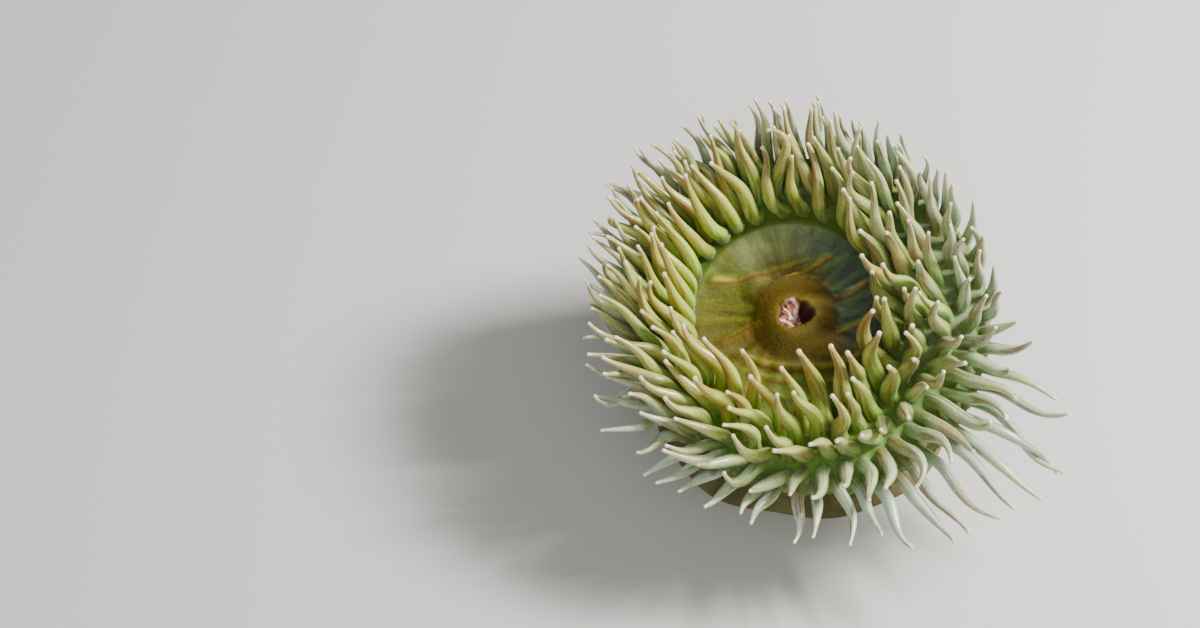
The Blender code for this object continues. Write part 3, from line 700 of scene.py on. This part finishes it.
# Centre lines: chance in direction, length and thickness, the curve's handles, its hooks and its sway.
DIRECTION_SCATTER = 0.09
LENGTH_RANGE = (0.9, 1.1)
RADIUS_RANGE = (0.9, 1.08)
STOUTER_SHARE = 0.10
SQUARENESS = 0.6
HANDLES = (0.36, 0.34)
HOOKED_SHARE = 0.25
HOOKS = (0.9, 0.3)
TIP_LIFT = 0.2
TIP_SCATTER = 0.6
SWAY = 0.05
SWAY_TURNS = 0.9
LINE_POINTS = 18
# Rounds in which the fingers push one another apart.
HELD_POINTS = 3
ROUNDS = 72
SETTLE_ROUNDS = 16
PAIRING_EVERY = 8
CLEARANCE = 0.8 * MM
PAIRING_REACH = 4 * MM
BALL_PUSH = 0.55
DRAWN_BACK = 0.98
SMOOTHING = 0.35
# The finger's rings, its knob, its flare at the root and the rise of the margin round it.
FINGER_SIDES = 12
FINGER_ROWS = 21
KNOB_HALF = 0.028
KNOB_THICKNESS = 0.295
KNOB_TURNS = (-52, -20, 12, 42, 64, 80)
ROOT_FLARE, ROOT_FLARE_SHARE = 0.36, 0.05
ROOT_RISE = 0.75
ROOT_SPREAD = 1.35


def on_margin(azimuth, turn):
    """Points and outward normals of the round margin. Across its top it is an ellipse: at a turn t it
    lies MARGIN_HALF_WIDTH sin t out and MARGIN_HALF_HEIGHT cos t up from the ellipse's middle."""
    r = MARGIN_MIDDLE + MARGIN_HALF_WIDTH * np.sin(turn)
    w = MARGIN_CENTRE_W + MARGIN_HALF_HEIGHT * np.cos(turn)
    cos, sin = np.cos(azimuth), np.sin(azimuth)
    out, up = np.sin(turn) / MARGIN_HALF_WIDTH, np.cos(turn) / MARGIN_HALF_HEIGHT
    return np.stack([r * cos, r * sin, w], 1), unit(np.stack([out * cos, out * sin, up], 1))


def settled_roots(azimuth, turn, radii):
    """Slides crowded roots apart over the margin, each inside its own sector: two of radii a and b push
    each other by ROOT_PUSH of what they lack of ROOT_ROOM (a + b) + ROOT_CLEARANCE."""
    half = math.radians(SECTOR_DEGREES) / 2
    middle = np.round(azimuth / (2 * half)) * 2 * half
    for _ in range(ROOT_ROUNDS):
        points, normals = on_margin(azimuth, turn)
        shaped = np.stack(crown_shape(*points.T), 1)
        between = shaped[:, None] - shaped[None]
        distance = np.linalg.norm(between, axis=2) + np.eye(len(points))
        room = ROOT_ROOM * (radii[:, None] + radii[None]) + ROOT_CLEARANCE
        lack = np.clip(room - distance, 0.0, None)
        push = (between * (ROOT_PUSH * lack / distance)[:, :, None]).sum(1)
        r = np.hypot(points[:, 0], points[:, 1])
        sideways = np.stack([-np.sin(azimuth), np.cos(azimuth), np.zeros(len(r))], 1)
        across = np.cross(sideways, normals)
        azimuth = azimuth + (push * sideways).sum(1) / r
        turn = turn + (push * across).sum(1) / MARGIN_HALF_WIDTH
        limit = half - (SECTOR_ROOM * radii + 1.2 * GAP) / r
        azimuth = np.clip(azimuth, middle - limit, middle + limit)
        turn = np.clip(turn, *ROOT_LIMITS)
    return azimuth, turn


def posed_reaches(azimuth):
    """The pose's reaches for the inner, middle and outer rows, read between its directions."""
    directions = np.radians(list(POSE))
    reaches = np.array(list(POSE.values())) * MM
    turn = 2 * math.pi
    return [
        np.stack([np.interp(azimuth, directions, values, period=turn) for values in tier.T], 1)
        for tier in reaches.transpose(1, 0, 2)
    ]


def tentacle_roots(rng):
    """Roots, outward normals, reaches, radii, azimuths and rows of all the tentacles."""
    rows = np.repeat(np.arange(len(ROWS)), [row[1] for row in ROWS])
    azimuth, turn, radii = [], [], []
    for degrees, count, radius in ROWS:
        step = 2 * math.pi / count
        start = -math.radians(SECTOR_DEGREES) / 2
        jitter = rng.uniform(-ROOT_JITTER, ROOT_JITTER, count)
        azimuth.append(start + (np.arange(count) + 0.5 + jitter) * step)
        turn.append(np.radians(degrees + rng.uniform(-ROOT_SCATTER, ROOT_SCATTER, count)))
        radii.append(radius * rng.uniform(*RADIUS_RANGE, count))
    azimuth = np.concatenate(azimuth)
    radii = np.concatenate(radii) * (1 + STOUTER_SHARE * np.cos(azimuth - LOBE_AZIMUTH))
    azimuth, turn = settled_roots(azimuth, np.concatenate(turn), radii)
    places, normals = on_margin(azimuth, turn)
    roots = np.stack(crown_shape(*places.T), 1)
    normals = unit(roots - np.stack(crown_shape(*(places - ROOT_SINK * normals).T), 1))

    inner, middle, outer = posed_reaches(azimuth)
    tier = (2 * rows / (len(ROWS) - 1))[:, None]
    reaches = np.where(tier < 1, inner + (middle - inner) * tier, middle + (outer - middle) * (tier - 1))
    length = np.linalg.norm(reaches, axis=1, keepdims=True)
    scattered = unit(reaches / length + rng.normal(0, DIRECTION_SCATTER, reaches.shape))
    reaches = scattered * length * rng.uniform(*LENGTH_RANGE, (len(rows), 1))
    return roots, normals, reaches, radii, azimuth, rows


def tentacle_lines(roots, normals, reaches, rng):
    """Centre lines: each is a Bezier cubic, (1-t)^3 p0 + 3t(1-t)^2 p1 + 3t^2(1-t) p2 + t^3 p3, that
    leaves the margin rather squarely and bends towards its reach, with a slow sideways wave on it,
    sin(2 pi SWAY_TURNS t + phase). A share of the tips hook off to a side."""
    count = len(roots)
    t = np.linspace(0, 1, LINE_POINTS)[None, :, None]
    length = np.linalg.norm(reaches, axis=1)[:, None]
    along = reaches / length
    hook = np.where(rng.random(count) < HOOKED_SHARE, *HOOKS)[:, None]
    first = unit(SQUARENESS * normals + (1 - SQUARENESS) * along)
    last = along + np.array([0, 0, TIP_LIFT]) + hook * rng.normal(0, TIP_SCATTER, along.shape)
    last = unit(last)
    p0 = roots[:, None]
    p1 = p0 + (HANDLES[0] * length * first)[:, None]
    p3 = p0 + reaches[:, None]
    p2 = p3 - (HANDLES[1] * length * last)[:, None]
    line = (1 - t) ** 3 * p0 + 3 * t * (1 - t) ** 2 * p1 + 3 * t**2 * (1 - t) * p2 + t**3 * p3
    side = unit(np.cross(along, rng.normal(0, 1, along.shape)))
    phase = rng.uniform(0, 2 * math.pi, (count, 1, 1))
    wave = np.sin(2 * math.pi * SWAY_TURNS * t + phase) - np.sin(phase) * (1 - t)
    return line + SWAY * length[:, None] * side[:, None] * wave * np.minimum(1, 3 * t)


def spread_apart(lines, radii):
    """Pushes the lines of different tentacles apart until their tubes clear one another.

    Each line is a chain of balls of the tentacle's radius. Every round moves two balls that are too
    close away from each other, draws the shifts a little back, except in the last rounds, smooths
    them along each chain, and gives each link its length again. The roots stay.
    """
    count, points, _ = lines.shape
    balls = count * points
    owner = np.repeat(np.arange(count), points)
    radius = radii.ravel()
    links = np.linalg.norm(np.diff(lines, axis=1), axis=2, keepdims=True)
    start = lines.copy()
    for turn in range(ROUNDS):
        flat = lines.reshape(-1, 3)
        if turn % PAIRING_EVERY == 0:
            square = (flat**2).sum(1)
            apart = square[:, None] + square[None] - 2 * flat @ flat.T
            reach = radius[:, None] + radius[None] + CLEARANCE + PAIRING_REACH
            i, j = np.nonzero((apart < reach**2) & (owner[:, None] < owner[None]))
        between = flat[i] - flat[j]
        distance = np.maximum(np.linalg.norm(between, axis=1), 0.01 * MM)
        lack = np.clip(radius[i] + radius[j] + CLEARANCE - distance, 0.0, None)
        push = between * (BALL_PUSH * lack / distance)[:, None]
        shift = [np.bincount(i, push[:, k], balls) - np.bincount(j, push[:, k], balls) for k in range(3)]
        hits = np.bincount(i, lack > 0, balls) + np.bincount(j, lack > 0, balls)
        shift = np.stack(shift, 1) / np.sqrt(np.maximum(hits, 1))[:, None]
        moved = lines + shift.reshape(count, points, 3) - start
        if turn < ROUNDS - SETTLE_ROUNDS:
            moved *= DRAWN_BACK
        moved[:, 1:-1] += SMOOTHING * ((moved[:, :-2] + moved[:, 2:]) / 2 - moved[:, 1:-1])
        moved[:, :HELD_POINTS] = 0.0
        lines = start + moved
        for k in range(HELD_POINTS, points):
            link = unit(lines[:, k] - lines[:, k - 1])
            lines[:, k] = lines[:, k - 1] + link * links[:, k - 1]
    return lines


def finger_rings(lines, radii, normals):
    """Rings (tubes, rows, around, 3) and outward normals of fingers along their lines.

    The root is sunk straight into the margin and flares there, by ROOT_FLARE exp(-s /
    ROOT_FLARE_SHARE) at the share s of the length. The tip is a round knob, the half circle
    sqrt(1 - k^2) of the place k along it, with its rings closer together. Each ring's frame is the
    one before, turned no more than the line itself turns.
    """
    share = np.linspace(0.0, 1 - 2 * KNOB_HALF, FINGER_ROWS)
    share = np.concatenate([share, 1 - KNOB_HALF * (1 - np.sin(np.radians(KNOB_TURNS)))])
    path = curve_through(lines, share * (LINE_POINTS - 1))
    sunk = path[:, :1] - normals[:, None] * ROOT_SINK
    path = np.concatenate([sunk, path], 1)
    share = np.concatenate([[0.0], share])
    steps = np.interp(np.linspace(0, 1, TAPER_STEPS + 1), SHARES, TAPER)[:, None]
    thick = curve_through(steps, share * TAPER_STEPS)[:, 0]
    thick = thick * (1 + ROOT_FLARE * np.exp(-share / ROOT_FLARE_SHARE))
    knob = KNOB_THICKNESS * np.sqrt(np.clip(1 - ((share - 1) / KNOB_HALF + 1) ** 2, 0.0, 1.0))
    thick = np.where(share > 1 - KNOB_HALF, knob, np.maximum(thick, knob))
    tangent = unit(np.gradient(path, axis=1))
    side = unit(np.cross(tangent[:, 0], np.array([0.31, 0.17, 0.05]) + 0 * tangent[:, 0]))
    sides = []
    for k in range(path.shape[1]):
        side = unit(side - (side * tangent[:, k]).sum(-1, keepdims=True) * tangent[:, k])
        sides.append(side)
    sides = np.stack(sides, 1)
    ups = np.cross(tangent, sides)
    angle = np.linspace(0.0, 2 * math.pi, FINGER_SIDES, endpoint=False)[:, None]
    outward = np.cos(angle) * sides[:, :, None] + np.sin(angle) * ups[:, :, None]
    size = radii[:, None, None, None] * thick[None, :, None, None]
    return path[:, :, None] + outward * size, outward, share


rng = np.random.default_rng(SEED)
roots, normals, reaches, radii, azimuths, rows = tentacle_roots(rng)
lines = tentacle_lines(roots, normals, reaches, rng)
thickness = np.interp(np.linspace(0.0, 1.0, LINE_POINTS), SHARES, THICKNESS)
lines = spread_apart(lines, radii[:, None] * thickness)
rings, outward, share = finger_rings(lines, radii, normals)

# The margin rises to meet each finger: by ROOT_RISE r exp(-(d / (ROOT_SPREAD r))^2) along the skin's
# normal, at a distance d from the nearest root of radius r, from 4 rows before it to 8 rows after it.
root_places = np.stack(lean(roots[:, 0], roots[:, 1], roots[:, 2] + COLUMN_TOP), 1)
margin_start, margin_end = row_ends[3:5]
near = slice(margin_start - 4, margin_end + 8)
beside = np.roll(skin_points, -1, 1) - np.roll(skin_points, 1, 1)
skin_normals = unit(np.cross(beside, np.gradient(skin_points, axis=0)))[near]
away = np.linalg.norm(skin_points[near][:, :, None] - root_places, axis=-1)
rise = (ROOT_RISE * radii * np.exp(-((away / (ROOT_SPREAD * radii)) ** 2))).max(-1)
skin_points[near] += skin_normals * rise[..., None]
skin.data.vertices.foreach_set("co", with_poles(skin_points[None]).ravel())
skin.data.update()

place_in_crown = np.moveaxis(rings, -1, 0)
rings = np.stack(lean(place_in_crown[0], place_in_crown[1], place_in_crown[2] + COLUMN_TOP), -1)
turned = np.moveaxis(outward, -1, 0)
cos, sin = math.cos(CROWN_LEAN), math.sin(CROWN_LEAN)
outward = np.stack([turned[0], turned[1] * cos - turned[2] * sin, turned[1] * sin + turned[2] * cos], -1)


def towards(degrees, narrowness):
    """((1 + cos a) / 2)^narrowness of each finger's azimuth a off a direction: 1 towards it, 0 away."""
    return (0.5 + 0.5 * np.cos(azimuths - math.radians(degrees))) ** narrowness


# Each finger's tone is chance. The outer rows and the right are cool, and the outer fingers of the
# front and of the back right are paled by painted glare.
tone = rng.uniform(0, 1, len(rows))
outer = rows / (len(ROWS) - 1)
cool = np.clip(outer**3 + (0.34 + 0.08 * rows) * towards(20, 2), 0, 1)
painted_glare = np.maximum(0.45 * outer * towards(62, 6), outer**3 * towards(-105, 2))

finger_flesh, tree, shader, blotch, grain, height = flesh(
    "finger_flesh", scatter=0.26, film=0.50, sheen=0.08, blotch_scale=70.0, grain_scale=1400.0
)
along_value, cool_value, tone_value = (read(tree, name) for name in ("along", "cool", "tone"))
outward_value = read(tree, "outward", "Vector")


def facing(x, y, z):
    """How far a finger's side faces a direction: the cosine, moved to run from 0 to 1."""
    length = math.sqrt(x * x + y * y + z * z)
    cosine = vector(tree, "DOT_PRODUCT", outward_value, (x / length, y / length, z / length), "Value")
    return sloped(tree, cosine, 0.5, 0.5)


# Three runs of colour from the root to the tip: green, tan on the side that faces the front left,
# painted as the shaded side of each finger, and sea-green for the cool fingers of the outer rows and
# the right.
shaded_side_facing = facing(-0.6, -0.45, 0.35)
uneven = sloped(tree, blotch, 0.35, sloped(tree, tone_value, 0.2, -0.275))
height_on = add(tree, "Math", {0: along_value, 1: uneven}, operation="ADD").outputs[0]
green, tan, sea = (
    ramp(tree, height_on, tuple(zip((0.0, *steps, 1.0), colours)))
    for steps, colours in (
        (
            (0.22, 0.48, 0.75),
            ((84, 138, 20), (118, 162, 32), (142, 162, 48), (160, 154, 68), (180, 162, 96)),
        ),
        (
            (0.26, 0.54, 0.8),
            ((112, 144, 26), (140, 156, 36), (160, 146, 50), (172, 148, 72), (194, 168, 112)),
        ),
        (
            (0.2, 0.5, 0.8),
            ((92, 132, 94), (120, 152, 126), (144, 161, 144), (166, 169, 154), (200, 194, 176)),
        ),
    )
)
colour = mixed(tree, faded(tree, shaded_side_facing, 0.40, 0.85), green, tan)
colour = mixed(tree, times(tree, cool_value, sloped(tree, tone_value, 0.4, 0.6)), colour, sea)
# Painted glare pales the outer fingers of the front and of the back right.
colour = painted(tree, colour, (194, 214, 198), read(tree, "painted_glare"), 0.65)
root_share = sloped(tree, cool_value, 0.65, 0.15)
colour = painted(tree, colour, (88, 114, 44), root_share, faded(tree, along_value, 0.36, 0.08))

# Lines along the finger, rusty and pale, then a brown left edge of painted shade, a pale right edge
# of painted rim light, a few ruddy patches and the pale tip.
line_place = ((shaded_side_facing, 5.5), (along_value, 1.8), (tone_value, 90.0))
line_place = {k: times(tree, value, scale) for k, (value, scale) in enumerate(line_place)}
line_place = add(tree, "CombineXYZ", line_place).outputs[0]
lines_on = noise(tree, line_place, 1.0, 3.0)
ruddy = times(tree, faded(tree, tone_value, 0.72, 0.9), faded(tree, blotch, 0.42, 0.62))
for tint, mask, strength in (
    ((112, 80, 30), faded(tree, lines_on, 0.51, 0.62), 0.65),
    ((192, 198, 118), faded(tree, lines_on, 0.47, 0.36), 0.4),
    # Painted shade on the left edges and a painted rim of light on the right edges.
    ((112, 84, 26), faded(tree, facing(-1.0, 0.35, -0.1), 0.86, 0.97), 0.55),
    ((190, 208, 100), faded(tree, facing(0.9, -0.25, 0.35), 0.86, 0.97), 0.4),
    ((150, 108, 30), ruddy, 0.5),
    ((236, 220, 192), faded(tree, along_value, 0.92, 0.98), 0.8),
):
    colour = painted(tree, colour, tint, mask, strength)
colour = speckled(tree, colour, grain, 1.8, 0.1, 0.45)
tree.links.new(colour, shader.inputs["Base Color"])
tree.links.new(sloped(tree, grain, 0.25, 0.28), shader.inputs["Roughness"])
height = sloped(tree, lines_on, 1.4, height)
bump = add(tree, "Bump", {"Strength": 0.5, "Distance": 0.3 * MM, "Height": height})
tree.links.new(bump.outputs[0], shader.inputs["Normal"])

sector_of = np.round(azimuths / math.radians(SECTOR_DEGREES)).astype(int) % len(SECTORS)
# A finger's levels on the map: its rings' shares, each a little further on, and one for each pole.
finger_levels = np.concatenate([[-0.02], share + 0.0004 * np.arange(len(share)), [1.03]]) / 1.06 + 0.02
for index, name in enumerate(SECTORS):
    own = sector_of == index
    fingers = closed_tubes(
        "fingers_" + name,
        rings[own],
        finger_levels,
        {
            "along": share[None, :, None, None],
            "outward": outward[own],
            "cool": cool[own][:, None, None, None],
            "tone": tone[own][:, None, None, None],
            "painted_glare": painted_glare[own][:, None, None, None],
        },
    )
    fingers.data.materials.append(finger_flesh)
    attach(fingers, "root")
    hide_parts("tentacles_" + name)

# Floor, lights and camera: a plain pale floor, a soft light from the upper right, a wide fill from
# the front, and the camera above the front, where it looks down at the crown.
FLOOR_HALF = 3.0
CAMERA_ELEVATION = math.radians(52)
CAMERA_DISTANCE = 1.1
CAMERA_TARGET = np.array([0.0, -0.006, 0.052])
PIXELS_PER_METRE = 2800
IMAGE_SIZE = (1200, 628)
TARGET_PIXEL = (806, 318)

floor_mesh = bpy.data.meshes.new("floor")
corners = [(x * FLOOR_HALF, y * FLOOR_HALF, 0) for x, y in ((-1, -1), (1, -1), (1, 1), (-1, 1))]
floor_mesh.from_pydata(corners, [], [(0, 1, 2, 3)])
floor = bpy.data.objects.new("floor", floor_mesh)
bpy.context.scene.collection.objects.link(floor)
paint = bpy.data.materials.new("floor_paint")
paint.use_nodes = True
paint.node_tree.nodes["Principled BSDF"].inputs["Base Color"].default_value = rgb(196, 194, 188)
paint.node_tree.nodes["Principled BSDF"].inputs["Roughness"].default_value = 0.8
floor_mesh.materials.append(paint)


def soft_light(name, place, size, power):
    """A square area light that faces the anemone."""
    lamp = bpy.data.lights.new(name, "AREA")
    lamp.size = size
    lamp.energy = power
    made = bpy.data.objects.new(name, lamp)
    made.location = place
    made.rotation_euler = (Vector(CAMERA_TARGET) - Vector(place)).to_track_quat("-Z", "Y").to_euler()
    bpy.context.scene.collection.objects.link(made)


soft_light("key", place=(0.80, 0.15, 0.85), size=0.28, power=39)
soft_light("fill", place=(0.0, -0.9, 1.0), size=0.9, power=8)
world = bpy.data.worlds.new("room")
world.use_nodes = True
world.node_tree.nodes["Background"].inputs["Color"].default_value = (0.92, 0.96, 1.0, 1.0)
world.node_tree.nodes["Background"].inputs["Strength"].default_value = 0.30
bpy.context.scene.world = world

lens = bpy.data.cameras.new("camera")
lens.sensor_width = 36
focal_pixels = PIXELS_PER_METRE * CAMERA_DISTANCE
lens.lens = lens.sensor_width * focal_pixels / IMAGE_SIZE[0]
camera = bpy.data.objects.new("camera", lens)
back = np.array([0.0, -math.cos(CAMERA_ELEVATION), math.sin(CAMERA_ELEVATION)])
camera.location = CAMERA_TARGET + back * CAMERA_DISTANCE
pan = math.atan((TARGET_PIXEL[0] - IMAGE_SIZE[0] / 2) / focal_pixels)
tilt = math.atan((TARGET_PIXEL[1] - IMAGE_SIZE[1] / 2) / focal_pixels)
turn = Matrix.Rotation(math.pi / 2 - CAMERA_ELEVATION, 3, "X") @ Matrix.Rotation(pan, 3, "Y")
camera.rotation_euler = (turn @ Matrix.Rotation(tilt, 3, "X")).to_euler()
bpy.context.scene.collection.objects.link(camera)
bpy.context.scene.camera = camera
